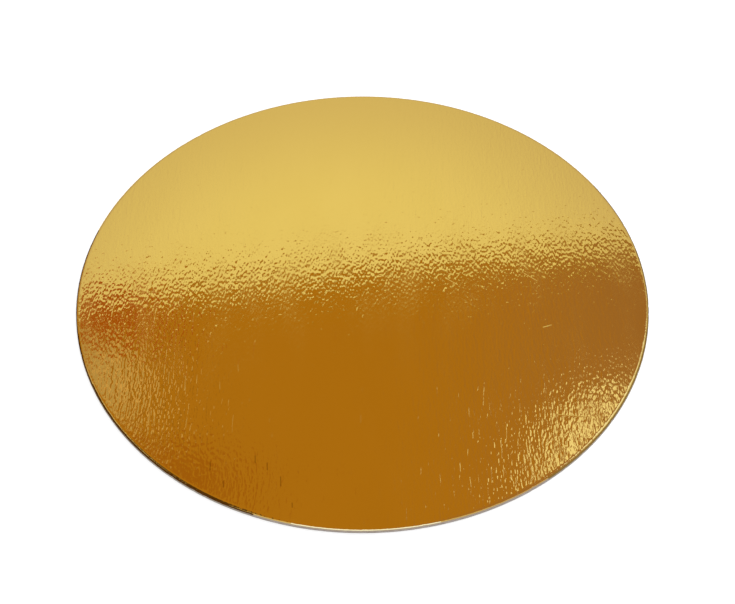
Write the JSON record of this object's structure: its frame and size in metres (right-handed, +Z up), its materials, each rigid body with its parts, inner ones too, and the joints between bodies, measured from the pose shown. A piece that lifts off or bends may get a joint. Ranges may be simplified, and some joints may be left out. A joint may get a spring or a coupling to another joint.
{
  "type": "round cake board",
  "caption": "Round gold foil cake board: a flat card disc with a softly rolled die-cut edge, to carry a cake.",
  "frame": {"origin": "centre of the round underside, on the surface that the board rests on", "axes": "+Z up through the board's thickness, from the plain underside to the foil face; +X and +Y lie in the plane of the disc"},
  "size_m": [0.26, 0.26, 0.002],
  "materials": {
    "gold_foil": "polished"
  },
  "bodies": {
    "root": {"cake_board": "gold_foil"}
  },
  "joints": []
}
